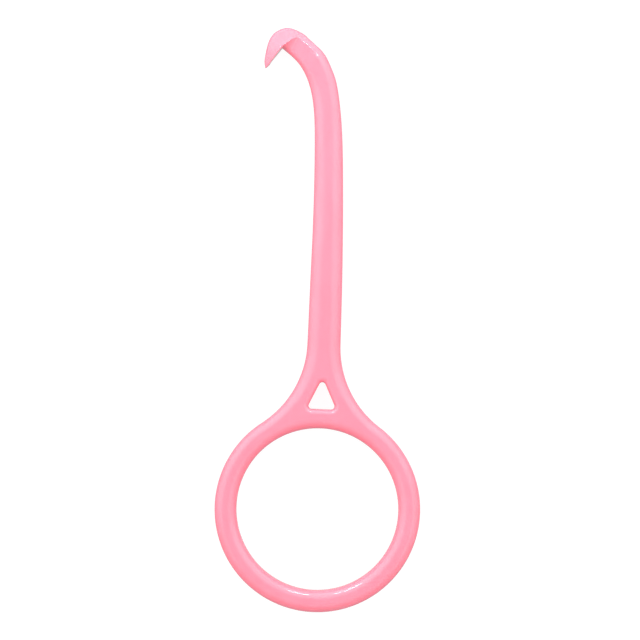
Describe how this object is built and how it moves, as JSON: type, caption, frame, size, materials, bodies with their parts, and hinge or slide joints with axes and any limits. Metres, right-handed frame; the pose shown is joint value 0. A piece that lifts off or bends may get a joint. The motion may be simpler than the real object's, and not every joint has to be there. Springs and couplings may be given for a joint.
{
  "type": "clear aligner removal hook",
  "caption": "Flat one-piece moulded hook: a finger ring, a yoke with a triangular window, a slim tapering stem and a bent, bevelled claw that lifts a clear dental aligner off the teeth.",
  "frame": {"origin": "centre of the finger ring, half way through its thickness", "axes": "+Y from the ring along the stem, +Z normal to the ring (the thin direction), claw bent towards -X"},
  "size_m": [0.0352, 0.1, 0.004],
  "materials": {
    "pink_plastic": "glossy, slightly translucent pink moulded plastic"
  },
  "bodies": {
    "root": {"aligner_hook": "pink_plastic"}
  },
  "joints": []
}
